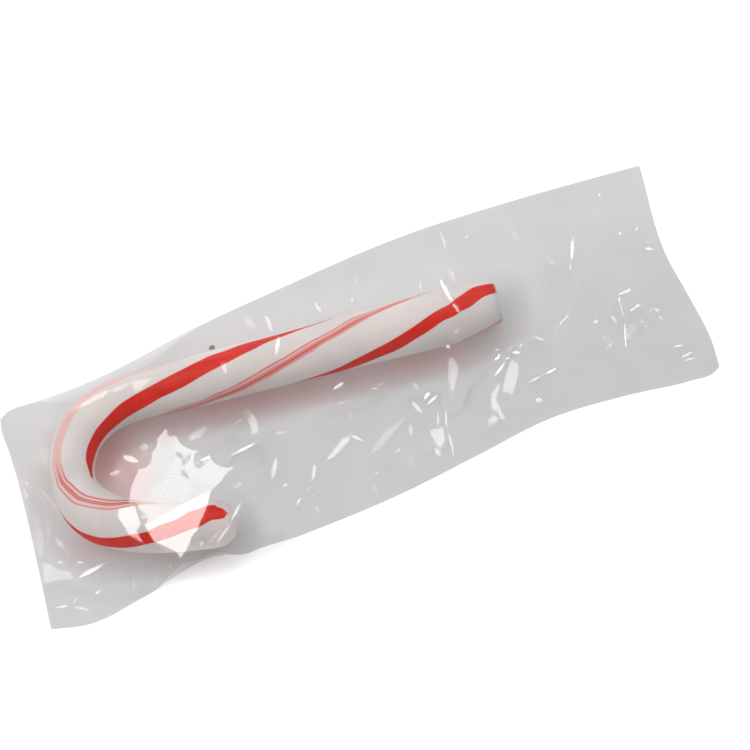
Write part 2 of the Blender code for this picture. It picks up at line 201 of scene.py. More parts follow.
# Long narrow pleats in the upper film: start, end, width, and how strongly each shines.
PLEATS = (
    (-9.1, 13.8, -8.1, 11.6, 0.9, 0.12), (-6.4, 13.1, -6.3, 10.2, 0.7, 0.2), (0.2, 12.3, 0.8, 10.5, 0.6, 0.2),
    (5.5, 11.2, 4.8, 10.1, 0.5, 0.14), (14.3, 9.6, 14.1, 8.0, 0.5, 0.15), (18.7, 10.2, 18.6, 7.3, 0.8, 0.12),
    (16.7, 8.7, 17.2, 4.6, 0.6, 0.5), (17.2, 4.8, 17.6, 3.0, 0.5, 0.4), (-14.1, 8.3, -14.3, 6.6, 0.6, 0.3),
    (-5.7, 9.3, -7.4, 6.3, 0.7, 0.2), (19.7, 15.7, 19.6, 13.0, 0.5, 0.2), (16.6, 1.5, 16.0, 0.6, 0.5, 0.12),
    (-29.5, 10.0, -26.5, 10.3, 0.8, 0.1), (-44.6, 4.1, -43.0, 2.4, 0.5, 0.18), (-43.0, 2.4, -41.0, -3.6, 0.5, 0.12),
    (-44.5, 3.2, -44.7, 1.2, 0.5, 0.25), (-43.0, -1.8, -44.3, -5.5, 0.5, 0.15), (-43.2, -4.9, -42.5, -7.0, 0.8, 0.2),
    (-42.6, -11.1, -37.9, -10.4, 0.7, 0.26), (-44.0, -7.9, -43.1, -8.5, 0.5, 0.2), (-41.9, -8.9, -40.7, -9.6, 0.5, 0.25),
    (-38.1, -11.2, -37.2, -13.4, 0.8, 0.15), (-41.2, -13.7, -39.6, -13.3, 0.5, 0.2), (-46.7, -13.2, -44.3, -13.8, 0.5, 0.2),
    (-44.3, -13.8, -41.9, -15.6, 0.5, 0.2), (-37.2, -4.6, -37.6, -6.3, 0.9, 0.1), (-22.1, -2.8, -17.8, -2.7, 0.6, 0.5),
    (-17.8, -2.7, -13.1, -2.2, 0.5, 0.4), (-22.1, 0.9, -18.9, 1.8, 1.2, 0.1), (-31.0, 2.4, -29.0, 0.7, 0.9, 0.28),
    (-28.4, 2.4, -27.1, 2.0, 0.9, 0.15), (-33.6, 0.4, -31.8, 0.3, 0.8, 0.15), (-19.0, -7.4, -17.3, -7.3, 0.8, 0.08),
    (-18.4, -9.9, -20.9, -11.8, 0.5, 0.12), (-20.9, -11.8, -25.3, -14.0, 0.5, 0.12), (-25.2, -12.9, -25.8, -13.6, 0.5, 0.3),
    (-1.8, 0.2, 0.4, 0.7, 0.6, 0.28), (-1.9, -1.6, -0.2, -1.5, 0.4, 0.15), (3.2, -0.3, 3.5, -1.3, 0.4, 0.2),
    (3.2, -1.2, 4.4, -1.5, 0.5, 0.25), (3.6, -1.0, 5.6, -1.2, 0.4, 0.15), (-10.8, -2.0, -9.4, -2.4, 0.7, 0.1),
    (-11.6, -4.8, -13.5, -7.9, 0.8, 0.16), (-12.7, -9.2, -11.5, -9.1, 0.5, 0.15), (-10.6, -11.2, -11.7, -12.1, 0.5, 0.22),
    (-7.2, -7.6, -8.4, -9.8, 0.7, 0.16), (-1.5, -5.7, -0.1, -7.2, 0.5, 0.2), (6.5, -7.2, 6.1, -9.0, 0.8, 0.12),
    (3.3, -10.2, 4.2, -9.8, 0.5, 0.14), (4.7, -11.5, 4.8, -12.8, 0.5, 0.1), (-0.4, -11.8, 0.3, -11.7, 0.5, 0.14),
    (8.6, -2.2, 9.2, -3.9, 0.7, 0.1), (9.4, -4.9, 10.5, -4.2, 0.8, 0.42), (9.4, -5.7, 11.6, -4.8, 0.5, 0.4),
    (7.8, -4.1, 8.5, -6.6, 0.7, 0.2), (14.5, 0.3, 14.8, -0.5, 0.6, 0.4), (10.7, -6.7, 9.7, -9.2, 0.5, 0.16), (11.7, -7.1, 10.7, -9.6, 0.5, 0.2),
    (10.9, -9.5, 10.4, -13.7, 0.5, 0.28), (20.2, -2.2, 21.6, -2.9, 0.4, 0.22), (19.8, -3.6, 21.7, -3.0, 0.6, 0.45),
    (19.0, -5.6, 21.6, -4.0, 0.5, 0.34), (21.3, -3.7, 22.4, -3.7, 0.4, 0.3), (21.7, -3.0, 23.4, -2.3, 0.4, 0.22),
    (23.2, -3.4, 24.8, -2.5, 0.4, 0.22), (22.5, -3.3, 23.7, -3.8, 0.5, 0.45), (22.6, -7.8, 25.9, -7.4, 0.4, 0.28),
    (25.7, -7.5, 27.7, -7.2, 0.5, 0.38), (23.2, -10.2, 24.2, -10.7, 0.7, 0.22), (25.7, -2.0, 27.6, -3.7, 0.4, 0.16),
    (35.9, 8.4, 34.5, 5.3, 0.6, 0.36), (34.4, 5.4, 34.0, 4.3, 0.5, 0.14), (41.5, 12.9, 41.0, 11.6, 0.5, 0.28),
    (41.2, 8.1, 41.5, 8.2, 0.5, 0.22), (41.7, 6.5, 42.2, 6.9, 0.5, 0.28), (44.5, 6.9, 44.2, 6.0, 0.5, 0.22),
    (44.2, 3.7, 45.5, 3.0, 0.5, 0.28), (44.7, 4.4, 45.9, 3.9, 0.4, 0.1), (38.7, -1.3, 38.2, -4.7, 0.5, 0.4),
    (36.8, -3.2, 37.2, -4.8, 0.6, 0.28), (40.3, -5.1, 40.9, -6.8, 0.7, 0.24), (38.1, -5.0, 36.9, -8.6, 0.5, 0.46),
    (42.4, -4.3, 43.2, -5.2, 0.5, 0.18), (42.8, -5.8, 43.2, -6.5, 0.6, 0.32), (42.7, -10.1, 44.5, -10.5, 0.4, 0.28),
    (43.3, -11.9, 45.3, -11.8, 0.5, 0.28), (43.5, -12.4, 45.6, -12.7, 0.4, 0.22), (32.8, -0.9, 32.4, -2.1, 0.5, 0.14),
    (34.2, -3.3, 35.1, -3.2, 0.6, 0.18), (29.1, -2.4, 32.2, -1.0, 0.4, 0.18), (41.4, 13.7, 41.35, 13.0, 0.5, 0.15),
    (41.2, 12.4, 41.1, 11.9, 0.4, 0.08), (40.95, 11.1, 40.9, 10.5, 0.5, 0.08), (40.9, 9.7, 40.8, 9.2, 0.4, 0.1),
    (41.4, 8.5, 41.3, 7.9, 0.4, 0.2), (40.3, 11.5, 39.9, 7.8, 0.5, 0.05), (-18.4, -9.8, -21.0, -12.2, 0.6, 0.22),
    (-21.0, -12.2, -24.0, -14.3, 0.6, 0.22),
)
PLEAT_WIDTHS = 1.2  # pleats are this much wider than listed
PLEAT_SHINE = 1.5
FAINT_PLEATS = 70  # small creases strewn over the film
FAINT_PLEAT_GAP = 5.5  # no nearer to the rod's middle


def smoothstep(values):
    held = np.clip(values, 0.0, 1.0)
    return held * held * (3.0 - 2.0 * held)


def direction(degrees):
    return np.array((math.cos(math.radians(degrees)), math.sin(math.radians(degrees))))


def bezier(start, end, count):
    """Points of the cubic curve between two knots, without its last point."""
    p0 = np.array(start[:2])
    p3 = np.array(end[:2])
    p1 = p0 + start[4] * direction(start[2])
    p2 = p3 - end[3] * direction(end[2])
    t = np.linspace(0.0, 1.0, count, endpoint=False)[:, None]
    return (1 - t) ** 3 * p0 + 3 * (1 - t) ** 2 * t * p1 + 3 * (1 - t) * t**2 * p2 + t**3 * p3


def lengths_along(points):
    steps = np.linalg.norm(np.diff(points, axis=0), axis=1)
    return np.concatenate([[0.0], np.cumsum(steps)])


def headings_along(points):
    ahead = np.gradient(points, axis=0)
    ahead[0] = direction(SHAFT_END[2])
    ahead[-1] = direction(TIP[2])
    return ahead / np.linalg.norm(ahead, axis=1)[:, None]


def rod_line(counts, radius):
    """The rod from its sawn end to its tip: middles, headings, lengths along and radii."""
    knots = (SHAFT_END, SHAFT_TOP, CROOK, TIP)
    runs = [bezier(a, b, count) for a, b, count in zip(knots, knots[1:], counts)]
    points = np.vstack(runs + [np.array([TIP[:2]])])
    ahead = headings_along(points)
    along = lengths_along(points)
    lost = END_CUT * np.clip(1.0 - along / END_CUT_REACH, 0.0, 1.0)
    left = np.column_stack([-ahead[:, 1], ahead[:, 0]])
    radii = radius * eased(ROD_PROFILE, along) - lost / 2.0
    return points - left * lost[:, None] / 2.0, ahead, along, radii


def through(points, shares):
    """Points at shares (0 to 1) along a smooth curve through the given points."""
    knots = np.array(points)
    reach = lengths_along(knots)
    slopes = np.gradient(knots, reach, axis=0)
    places = shares * reach[-1]
    cell = np.clip(np.searchsorted(reach, places, side="right") - 1, 0, len(knots) - 2)
    width = (reach[cell + 1] - reach[cell])[:, None]
    t = (places - reach[cell])[:, None] / width
    rise = t * t * (3.0 - 2.0 * t)
    leave = slopes[cell] * t * (1.0 - t) ** 2 * width
    arrive = slopes[cell + 1] * t * t * (1.0 - t) * width
    return knots[cell] * (1 - rise) + knots[cell + 1] * rise + leave - arrive


def eased(knots, places):
    """Values at places from (place, value) knots, on a curve that never overshoots them."""
    at, value = np.array(knots).T
    slope = np.diff(value) / np.diff(at)
    tangent = np.concatenate([[slope[0]], (slope[:-1] + slope[1:]) / 2.0, [slope[-1]]])
    turns = np.concatenate([[False], slope[:-1] * slope[1:] <= 0.0, [False]])
    tangent[turns] = 0.0
    cell = np.clip(np.searchsorted(at, places, side="right") - 1, 0, len(at) - 2)
    width = (at[cell + 1] - at[cell])
    t = np.clip((places - at[cell]) / width, 0.0, 1.0)
    rise = t * t * (3.0 - 2.0 * t)
    bend = tangent[cell] * t * (1 - t) ** 2 - tangent[cell + 1] * t * t * (1 - t)
    return value[cell] * (1 - rise) + value[cell + 1] * rise + bend * width


# ----------------------------------------------------------------------------- nodes, as expressions


class Number:
    """A number socket. Arithmetic with it adds Math nodes to its tree."""

    def __init__(self, tree, socket):
        self.tree = tree
        self.socket = socket

    def maths(self, operation, *values, clamp=False):
        settings = {"operation": operation, "use_clamp": clamp}
        node = self.tree.add("ShaderNodeMath", settings, dict(enumerate(values)))
        return Number(self.tree, node.outputs[0])

    def __add__(self, other):
        return self.maths("ADD", self, other)

    __radd__ = __add__

    def __sub__(self, other):
        return self.maths("SUBTRACT", self, other)

    def __rsub__(self, other):
        return self.maths("SUBTRACT", other, self)

    def __mul__(self, other):
        return self.maths("MULTIPLY", self, other)

    __rmul__ = __mul__

    def __truediv__(self, other):
        return self.maths("DIVIDE", self, other)

    def __pow__(self, other):
        return self.maths("POWER", self, other)

    def __abs__(self):
        return self.maths("ABSOLUTE", self)

    def smaller(self, other):
        return self.maths("MINIMUM", self, other)

    def larger(self, other):
        return self.maths("MAXIMUM", self, other)

    def wrapped(self, low, high):
        return self.maths("WRAP", self, high, low)

    def step(self, start, end):
        """0 below start and 1 above end, or the other way round if end is the smaller."""
        low, high = min(start, end), max(start, end)
        limits = {"From Min": low, "From Max": high}
        limits["To Min"], limits["To Max"] = (0.0, 1.0) if start < end else (1.0, 0.0)
        settings = {"interpolation_type": "SMOOTHSTEP"}
        node = self.tree.add("ShaderNodeMapRange", settings, {"Value": self, **limits})
        return Number(self.tree, node.outputs["Result"])


class Tree:
    """A node tree with one way to add a node: its type, its settings, then its sockets."""

    def __init__(self, tree):
        self.tree = tree

    def add(self, kind, settings=None, sockets=None):
        node = self.tree.nodes.new(kind)
        for name, value in (settings or {}).items():
            setattr(node, name, value)
        for key, value in (sockets or {}).items():
            source = value.socket if isinstance(value, Number) else value
            if isinstance(source, bpy.types.NodeSocket):
                self.tree.links.new(source, node.inputs[key])
            else:
                node.inputs[key].default_value = source
        return node

    def attribute(self, name, output="Fac"):
        node = self.add("ShaderNodeAttribute", {"attribute_name": name})
        return Number(self, node.outputs[output])

    def noise(self, scale, detail=2.0, vector=None, roughness=0.5):
        place = vector or self.add("ShaderNodeTexCoord").outputs["Object"]
        sockets = {"Vector": place, "Scale": scale, "Detail": detail, "Roughness": roughness}
        return Number(self, self.add("ShaderNodeTexNoise", None, sockets).outputs["Fac"])

    def stretched(self, vector, scale):
        node = self.add("ShaderNodeMapping", None, {"Vector": vector, "Scale": scale})
        return node.outputs["Vector"]

    def blend(self, share, first, second):
        """A colour between two colours."""
        sockets = {"Factor": share, 6: first, 7: second}
        return self.add("ShaderNodeMix", {"data_type": "RGBA"}, sockets).outputs[2]

    def mix(self, share, first, second):
        """A surface between two surfaces."""
        return self.add("ShaderNodeMixShader", None, {0: share, 1: first, 2: second}).outputs[0]

    def bump(self, height, strength, distance):
        sockets = {"Height": height, "Strength": strength, "Distance": distance}
        return self.add("ShaderNodeBump", None, sockets).outputs["Normal"]


def new_material(name):
    """An empty material: its tree and its output node's Surface socket."""
    material = bpy.data.materials.new(name)
    material.use_nodes = True
    material.node_tree.nodes.clear()
    tree = Tree(material.node_tree)
    output = tree.add("ShaderNodeOutputMaterial")
    return material, tree, output.inputs["Surface"]


# ------------------------------------------------------------------------------------------ finishes


def stripe_place(tree, name, angle):
    """How far a point is from the middle of a stripe, in half widths: under 1 is on the stripe."""
    offset = (angle - tree.attribute(name)).wrapped(-180.0, 180.0)
    return offset / tree.attribute(name + "_half")


def candy_material(looks):
    material, tree, surface = new_material("pulled_sugar")
    around = tree.attribute("around", "Vector").socket
    parts = tree.add("ShaderNodeSeparateXYZ", None, {0: around})
    aside = Number(tree, parts.outputs[0])
    up = Number(tree, parts.outputs[1])
    along = tree.attribute("along")
    angle = up.maths("ARCTAN2", up, aside) * (180.0 / math.pi)
    wander = (tree.noise(260.0, 2.0) - 0.5) * 0.16
    on_side = tree.attribute("side_skin")

    wide = None
    for name in WIDE_STRIPES:
        place = abs(stripe_place(tree, name, angle) + wander)
        mask = place.step(1.06, 0.94)
        wide = mask if wide is None else wide.larger(mask)
    wide = wide * on_side

    band, lines = None, None
    for name in FINE_STRIPES:
        place = stripe_place(tree, name, angle) + wander
        inside = abs(place).step(1.1, 0.9)
        strands = None
        for middle, half, strength in STRANDS[name]:
            strand = abs(place - middle).step(half * 1.8, half * 0.4) * strength
            strands = strand if strands is None else strands.larger(strand)
        strands = strands * inside * tree.attribute(name + "_strands")
        inside = inside * tree.attribute(name + "_band")
        band = inside if band is None else band.larger(inside)
        lines = strands if lines is None else lines.larger(strands)
    band = band * on_side
    lines = lines * on_side

    cloud = tree.noise(140.0, 3.0)
    white = tree.blend(cloud.step(0.35, 0.65), tuple(looks.white), tuple(looks.white_shade))
    deep = tree.noise(420.0, 2.0).step(0.3, 0.7)
    red = tree.blend(deep, tuple(looks.red), tuple(looks.red_deep))
    colour = tree.blend(band * looks.band_strength, white, tuple(looks.band))
    colour = tree.blend(lines * looks.strand_strength, colour, tuple(looks.strand))
    colour = tree.blend(wide, colour, red)

    satin_place = tree.add(
        "ShaderNodeCombineXYZ", None, {0: along * 0.12, 1: (angle + tree.attribute("twist")) * 0.16}
    ).outputs[0]
    satin = tree.noise(4.0, 3.0, satin_place)
    grain = tree.noise(2600.0, 2.0)
    relief = satin * 0.7 + grain * 0.3
    sockets = {
        "Base Color": colour,
        "Roughness": (grain * 0.18 + looks.roughness).socket,
        "IOR": 1.5,
        "Specular IOR Level": looks.specular,
        "Subsurface Weight": looks.glow,
        "Subsurface Radius": (1.0, 0.25, 0.18),
        "Subsurface Scale": looks.glow_depth,
        "Normal": tree.bump(relief, 0.35, 0.00012),
    }
    tree.tree.links.new(tree.add("ShaderNodeBsdfPrincipled", None, sockets).outputs[0], surface)
    return material


def film_material(name, looks):
    material, tree, surface = new_material(name)
    ripple = tree.noise(900.0, 2.0)
    normal = tree.bump(ripple, 0.12, 0.00004)
    facing = Number(tree, tree.add("ShaderNodeLayerWeight", None, {"Blend": 0.5}).outputs["Facing"])
    shine = (facing**5.0) * looks.grazing + tree.attribute("gleam") * looks.mirror

    def clear(tint):
        return tree.add("ShaderNodeBsdfTransparent", None, {"Color": (*tint, 1.0)}).outputs[0]

    gloss = tree.add(
        "ShaderNodeBsdfGlossy",
        None,
        {"Color": (1.0, 1.0, 1.0, 1.0), "Roughness": looks.roughness, "Normal": normal},
    ).outputs[0]
    milky = tree.add(
        "ShaderNodeBsdfPrincipled",
        None,
        {"Base Color": tuple(looks.milk), "Roughness": 0.5, "IOR": 1.5, "Normal": normal},
    ).outputs[0]
    cloud = (tree.noise(160.0, 3.0) - 0.5) * 0.186
    # The film's dullness and painted shade pick between its two tints; the cloud varies them at random.
    film = tree.mix(tree.attribute("dullness_and_painted_shade") + cloud, clear(looks.tint_light), clear(looks.tint_dark))
    # The lower sheet mixes in a painted pink shade beside the rod.
    if name.startswith("film_back"):
        film = tree.mix(tree.attribute("painted_pink_shade"), film, clear(looks.painted_pink_shade))
    film = tree.mix(shine, film, gloss)
    tree.tree.links.new(tree.mix(looks.haze, film, milky), surface)
    return material


def speck_material():
    material, tree, surface = new_material("dirt")
    colour = tree.blend(tree.noise(3000.0), (0.17, 0.165, 0.125, 1.0), (0.34, 0.33, 0.25, 1.0))
    shader = tree.add("ShaderNodeBsdfPrincipled", None, {"Base Color": colour, "Roughness": 0.8})
    tree.tree.links.new(shader.outputs[0], surface)
    return material


def floor_material(looks):
    material, tree, surface = new_material("pale_floor")
    values = {
        "Base Color": tuple(looks.floor),
        "Roughness": 1.0,
        "Specular IOR Level": 0.0,
        "Emission Color": (1.0, 1.0, 1.0, 1.0),
        "Emission Strength": looks.glow,
    }
    shader = tree.add("ShaderNodeBsdfPrincipled", None, values)
    tree.tree.links.new(shader.outputs[0], surface)
    return material


# -------------------------------------------------------------------------------------------- meshes


def grid_faces(columns, rows):
    start = (np.arange(columns)[:, None] * (rows + 1) + np.arange(rows)[None]).reshape(-1)
    return np.stack([start, start + rows + 1, start + rows + 2, start + 1], axis=1)


def new_mesh_object(name, points, faces=(), edges=(), values=None):
    """An object at the origin from arrays in millimetres, with a number attribute for each value."""
    data = bpy.data.meshes.new(name)
    faces = [tuple(map(int, face)) for face in faces]
    data.from_pydata((np.asarray(points) * MM).tolist(), [tuple(map(int, e)) for e in edges], faces)
    for key, numbers in (values or {}).items():
        kind = "FLOAT_VECTOR" if np.ndim(numbers) == 2 else "FLOAT"
        field = data.attributes.new(key, kind, "POINT")
        flat = np.ascontiguousarray(numbers, dtype=np.float32).reshape(-1)
        field.data.foreach_set("vector" if kind == "FLOAT_VECTOR" else "value", flat)
    data.update()
    piece = bpy.data.objects.new(name, data)
    bpy.context.collection.objects.link(piece)
    return piece


def finish_piece(piece, slot, *replaced):
    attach(piece, BODY)
    if replaced:
        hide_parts(*replaced)


# ------------------------------------------------------------------------------------------ the rod


def rod_rings(radius):
    """The rod's rings: middle, radius, heading and length along, from the sawn end to the tip."""
    points, ahead, along, radii = rod_line(RINGS_ALONG, radius)
    middles = np.column_stack([points, ROD_LIES_AT + radii])
    ends = []
    for index, outwards, rounding in ((0, -1.0, SHAFT_END_ROUNDING), (-1, 1.0, TIP_ROUNDING)):
        heading = np.append(ahead[index], 0.0)
        rings = []
        for bend in np.linspace(0.0, math.pi / 2.0, ROUNDING_RINGS):
            shift = rounding * (math.sin(bend) - 1.0)
            rings.append((shift, radii[index] - rounding * (1.0 - math.cos(bend)), math.cos(bend)))
        flat = radii[index] - rounding
        for ring in range(1, CAP_RINGS + 1):
            share = ring / (CAP_RINGS + 0.2)
            rings.append((0.05 * share, flat * (1.0 - share), 0.0))
        made = []
        for shift, size, skin in rings:
            place = middles[index] + heading * outwards * shift
            made.append((place, size, ahead[index], along[index] + outwards * min(shift, 0.0), skin))
        ends.append(made)
    body = []
    for middle, size, heading, length in zip(middles, radii, ahead, along):
        past_start = (middle - ends[0][0][0])[:2] @ ends[0][0][2]
        before_tip = (ends[1][0][0] - middle)[:2] @ ends[1][0][2]
        on_shaft = middle[1] > TIP[1] / 2.0
        if (past_start if on_shaft else before_tip) > RING_GAP:
            body.append((middle, size, heading, length, 1.0))
    return ends[0][::-1] + body + ends[1]


def stripe_values(along):
    """Each stripe's middle angle and half width at lengths along the rod."""
    values = {}
    for name, knots in {**WIDE_STRIPES, **FINE_STRIPES}.items():
        values[name] = eased([(at, angle) for at, angle, _ in knots], along)
        values[name + "_half"] = np.maximum(eased([(at, half) for at, _, half in knots], along), 0.02)
    values["twist"] = -(values["wide_one"] + values["fine_one"]) / 2.0
    values["fine_one_band"] = np.ones(len(along))
    values["fine_one_strands"] = np.ones(len(along))
    values["fine_two_band"] = 1.0 - 0.15 * smoothstep((along - 5.0) / 4.0) - 0.35 * smoothstep((along - 62.0) / 5.0)
    bare = smoothstep((along - 42.0) / 4.0) * (1.0 - smoothstep((along - 62.5) / 3.5))
    values["fine_two_strands"] = 1.0 - bare
    return values


def rod_path(looks):
    """The rod's middle line as an open chain of points that carry what the skin needs."""
    rings = rod_rings(looks.radius / MM)
    middles = np.array([ring[0] for ring in rings])
    along = np.array([ring[3] for ring in rings])
    values = stripe_values(along)
    values["ring"] = np.array([ring[1] for ring in rings]) * MM
    values["middle"] = middles * MM
    values["ahead"] = np.array([(*ring[2], 0.0) for ring in rings])
    values["along"] = along
    values["side_skin"] = smoothstep(np.array([ring[4] for ring in rings]) * 1.6 - 0.5)
    edges = [(index, index + 1) for index in range(len(rings) - 1)]
    return new_mesh_object("candy_cane_sugar", middles, edges=edges, values=values)


def rod_tree():
    """Geometry nodes that sweep a ring along the path and store each point's place round it."""
    group = bpy.data.node_groups.new("Sugar Rod", "GeometryNodeTree")
    sockets = (
        ("Path", "INPUT", "NodeSocketGeometry"),
        ("Sides", "INPUT", "NodeSocketInt"),
        ("Lump Height", "INPUT", "NodeSocketFloat"),
        ("Lumps Per Metre", "INPUT", "NodeSocketFloat"),
        ("Finish", "INPUT", "NodeSocketMaterial"),
        ("Rod", "OUTPUT", "NodeSocketGeometry"),
    )
    for name, side, kind in sockets:
        group.interface.new_socket(name, in_out=side, socket_type=kind)
    tree = Tree(group)
    given = tree.add("NodeGroupInput").outputs

    def field(name, kind="FLOAT"):
        node = tree.add("GeometryNodeInputNamedAttribute", {"data_type": kind}, {"Name": name})
        return node.outputs["Attribute"]

    def vectors(operation, *values, output=0):
        node = tree.add("ShaderNodeVectorMath", {"operation": operation}, dict(enumerate(values)))
        return node.outputs[output]

    path = tree.add("GeometryNodeMeshToCurve", None, {"Mesh": given["Path"]}).outputs["Curve"]
    ring = tree.add(
        "GeometryNodeCurvePrimitiveCircle", {"mode": "RADIUS"}, {"Resolution": given["Sides"], "Radius": 1.0}
    ).outputs["Curve"]
    sweep = {"Curve": path, "Profile Curve": ring, "Scale": field("ring"), "Fill Caps": True}
    rod = tree.add("GeometryNodeCurveToMesh", None, sweep).outputs["Mesh"]
    place = tree.add("GeometryNodeInputPosition").outputs[0]
    outwards = vectors("NORMALIZE", vectors("SUBTRACT", place, field("middle", "FLOAT_VECTOR")))
    aside = vectors("CROSS_PRODUCT", (0.0, 0.0, 1.0), field("ahead", "FLOAT_VECTOR"))
    sideways = vectors("DOT_PRODUCT", outwards, aside, output="Value")
    upwards = vectors("DOT_PRODUCT", outwards, (0.0, 0.0, 1.0), output="Value")
    around = tree.add("ShaderNodeCombineXYZ", None, {0: sideways, 1: upwards}).outputs[0]
    rod = tree.add(
        "GeometryNodeStoreNamedAttribute",
        {"data_type": "FLOAT_VECTOR", "domain": "POINT"},
        {"Geometry": rod, "Name": "around", "Value": around},
    ).outputs[0]
    lumps = tree.noise(given["Lumps Per Metre"], 2.0, place)
    rise = (lumps - 0.5) * Number(tree, given["Lump Height"])
    normal = tree.add("GeometryNodeInputNormal").outputs["Normal"]
    offset = tree.add("ShaderNodeVectorMath", {"operation": "SCALE"}, {0: normal, "Scale": rise})
    moved = {"Geometry": rod, "Offset": offset.outputs[0]}
    rod = tree.add("GeometryNodeSetPosition", None, moved).outputs[0]
    rod = tree.add("GeometryNodeSetShadeSmooth", None, {"Geometry": rod}).outputs[0]
    rod = tree.add("GeometryNodeRealizeInstances", None, {"Geometry": rod}).outputs[0]
    rod = tree.add("GeometryNodeSetMaterial", None, {"Geometry": rod, "Material": given["Finish"]})
    tree.add("NodeGroupOutput", None, {"Rod": rod.outputs[0]})
    return group


def apply_tree(piece, group, values):
    """Runs a node group on a piece and keeps the result as its plain mesh."""
    modifier = piece.modifiers.new(group.name, "NODES")
    modifier.node_group = group
    names = {item.name: item.identifier for item in group.interface.items_tree if item.in_out == "INPUT"}
    for name, value in values.items():
        modifier[names[name]] = value
    graph = bpy.context.evaluated_depsgraph_get()
    made = bpy.data.meshes.new_from_object(piece.evaluated_get(graph))
    piece.modifiers.clear()
    old = piece.data
    piece.data = made
    made.name = piece.name
    bpy.data.meshes.remove(old)


# ----------------------------------------------------------------------------------------- the film


def wrapper_edge(start, between, end):
    return [WRAPPER_CORNERS[start], *between, WRAPPER_CORNERS[end]]


def footprint(columns, rows):
    """A grid of places that fills the wrapper's outline, blended from its four edges."""
    along = np.linspace(0.0, 1.0, columns + 1)
    across = np.linspace(0.0, 1.0, rows + 1)
    lower = through(wrapper_edge("lower_left", LOWER_EDGE, "lower_right"), along)[:, None]
    upper = through(wrapper_edge("upper_left", UPPER_EDGE, "upper_right"), along)[:, None]
    left = through(wrapper_edge("lower_left", LEFT_EDGE, "upper_left"), across)[None]
    right = through(wrapper_edge("lower_right", RIGHT_EDGE, "upper_right"), across)[None]
    u = along[:, None, None]
    v = across[None, :, None]
    corners = (1 - u) * (1 - v) * lower[0, 0] + u * (1 - v) * lower[-1, 0]
    corners = corners + (1 - u) * v * upper[0, 0] + u * v * upper[-1, 0]
    return (1 - v) * lower + v * upper + (1 - u) * left + u * right - corners


def rod_beside(places, radius):
    """Distance from each place to the rod's middle line, and the rod's radius there."""
    line, _, _, radii = rod_line((90, 70, 80), radius)
    flat = places.reshape(-1, 2)
    distance = np.empty(len(flat))
    thickness = np.empty(len(flat))
    for start in range(0, len(flat), 20000):
        block = flat[start : start + 20000]
        gaps = (block[:, :1] - line[:, 0]) ** 2 + (block[:, 1:] - line[:, 1]) ** 2
        nearest = gaps.argmin(axis=1)
        distance[start : start + 20000] = np.sqrt(gaps[np.arange(len(block)), nearest])
        thickness[start : start + 20000] = radii[nearest]
    return distance.reshape(places.shape[:-1]), thickness.reshape(places.shape[:-1])


def from_outline(places, outline):
    """Distance from each place to a closed outline's interior: 0 inside it."""
    nearest = np.full(places.shape[:-1], np.inf)
    inside = np.zeros(places.shape[:-1], dtype=bool)
    x, y = places[..., 0], places[..., 1]
    for (x0, y0), (x1, y1) in zip(outline, [*outline[1:], outline[0]]):
        dx, dy = x1 - x0, y1 - y0
        t = np.clip(((x - x0) * dx + (y - y0) * dy) / (dx * dx + dy * dy), 0.0, 1.0)
        nearest = np.minimum(nearest, (x - x0 - t * dx) ** 2 + (y - y0 - t * dy) ** 2)
        if y0 != y1:
            inside ^= ((y0 > y) != (y1 > y)) & (x < x0 + (y - y0) * dx / (y1 - y0))
    return np.where(inside, 0.0, np.sqrt(nearest))


def wrapper_edge_height(distance):
    """Height of the wrapper's own edge: it is held up where the rod is close to it."""
    return EDGE_HEIGHT + HELD_UP * np.clip((NEAR_EDGE - distance) / (NEAR_EDGE - NEAREST_EDGE), 0.0, 1.0)


def least_height(places, radius):
    """The film can't be lower than this: the top of the rod, or the table."""
    distance, thickness = rod_beside(places, radius)
    size = thickness + CLING
    over = np.sqrt(np.maximum(size**2 - distance**2, 0.0))
    return np.where(distance < size, ROD_LIES_AT + thickness + over, LOWEST_FILM)


def taut_film(places, radius):
    """Height of film that lies flat along the rod's top and falls straight from it on both sides."""
    distance, thickness = rod_beside(places, radius)
    to_edge = resampled(edge_distance(places[::4, ::4]), places.shape[0] - 1, places.shape[1] - 1)
    size = thickness + CLING
    foot = wrapper_edge_height(distance + to_edge)
    x, y = places[..., 0], places[..., 1]
    uneven = np.sin(0.31 * x + 0.9) * np.sin(0.37 * y - 0.4) + 0.6 * np.sin(0.83 * x - 0.6 * y)
    reach = np.minimum(distance + to_edge, SKIRT_REACH * (0.86 + 0.1 * uneven))
    drop = ROD_LIES_AT + thickness - foot
    slant = np.hypot(reach, drop)
    slope = np.tan(np.arcsin(np.minimum(size / slant, 0.999)) + np.arctan2(drop, reach))
    falling = foot + drop + size * np.sqrt(1.0 + slope**2) - slope * distance
    return np.maximum(np.minimum(falling, foot + drop + size), foot)


def edge_distance(places):
    rim = [*places[0], *places[-1], *places[:, 0], *places[:, -1]]
    nearest = np.full(places.shape[:-1], np.inf)
    for x, y in rim:
        nearest = np.minimum(nearest, (places[..., 0] - x) ** 2 + (places[..., 1] - y) ** 2)
    return np.sqrt(nearest)


def resampled(values, columns, rows):
    """The same field on a grid with more cells."""
    u = np.linspace(0.0, values.shape[0] - 1.0, columns + 1)
    v = np.linspace(0.0, values.shape[1] - 1.0, rows + 1)
    i = np.minimum(u.astype(int), values.shape[0] - 2)
    j = np.minimum(v.astype(int), values.shape[1] - 2)
    a = (u - i)[:, None]
    b = (v - j)[None]
    low = values[i][:, j] * (1 - b) + values[i][:, j + 1] * b
    high = values[i + 1][:, j] * (1 - b) + values[i + 1][:, j + 1] * b
    return low * (1 - a) + high * a


def tilt_towards(azimuth):
    """Slope, along x and y, of a film face that mirrors the lamps at this azimuth to the camera."""
    normal = unit_towards(azimuth, LAMP_ELEVATION) + camera_side()
    return np.array((-normal.x / normal.z, -normal.y / normal.z))


